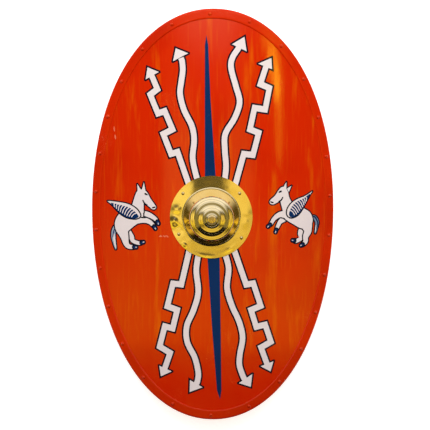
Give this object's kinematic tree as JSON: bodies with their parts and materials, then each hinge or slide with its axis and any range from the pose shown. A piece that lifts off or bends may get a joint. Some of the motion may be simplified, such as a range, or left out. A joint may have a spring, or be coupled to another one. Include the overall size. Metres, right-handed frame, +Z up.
{
  "type": "roman scutum shield",
  "caption": "Curved oval shield with a riveted folded rim, a hollow round boss with a flange over the hand hole, and a wrapped grip bar behind it.",
  "frame": {"origin": "on the ground under the middle of the shield, which lies face up on the two flat spots of its rim", "axes": "+Z up out of the shield's face, +Y towards the shield's top, +X to the right as seen from above"},
  "size_m": [0.6388, 1.067, 0.1497],
  "materials": {
    "painted_board": "gloss red paint on a plywood board, with hand-painted white, blue and navy artwork",
    "painted_rim": "gloss red paint over folded steel sheet and rivet heads",
    "brass": "polished spun brass with fine rings and a hand-hammered flange",
    "grip_steel": "blackened steel strap",
    "grip_leather": "dark brown leather sleeve with a sewn seam"
  },
  "bodies": {
    "root": {"board": "painted_board", "rim": "painted_rim", "boss": "brass", "grip_bar": "grip_steel", "grip_wrap": "grip_leather", "rim_rivet_01": "painted_rim", "rim_rivet_02": "painted_rim", "rim_rivet_03": "painted_rim", "rim_rivet_04": "painted_rim", "rim_rivet_05": "painted_rim", "rim_rivet_06": "painted_rim", "rim_rivet_07": "painted_rim", "rim_rivet_08": "painted_rim", "rim_rivet_09": "painted_rim", "rim_rivet_10": "painted_rim", "rim_rivet_11": "painted_rim", "rim_rivet_12": "painted_rim", "rim_rivet_13": "painted_rim", "rim_rivet_14": "painted_rim", "rim_rivet_15": "painted_rim", "rim_rivet_16": "painted_rim", "rim_rivet_17": "painted_rim", "rim_rivet_18": "painted_rim", "rim_rivet_19": "painted_rim", "rim_rivet_20": "painted_rim", "rim_rivet_21": "painted_rim", "rim_rivet_22": "painted_rim", "rim_rivet_23": "painted_rim", "rim_rivet_24": "painted_rim", "rim_rivet_25": "painted_rim", "rim_rivet_26": "painted_rim", "boss_rivet_1": "brass", "boss_rivet_2": "brass", "boss_rivet_3": "brass", "boss_rivet_4": "brass"}
  },
  "joints": []
}
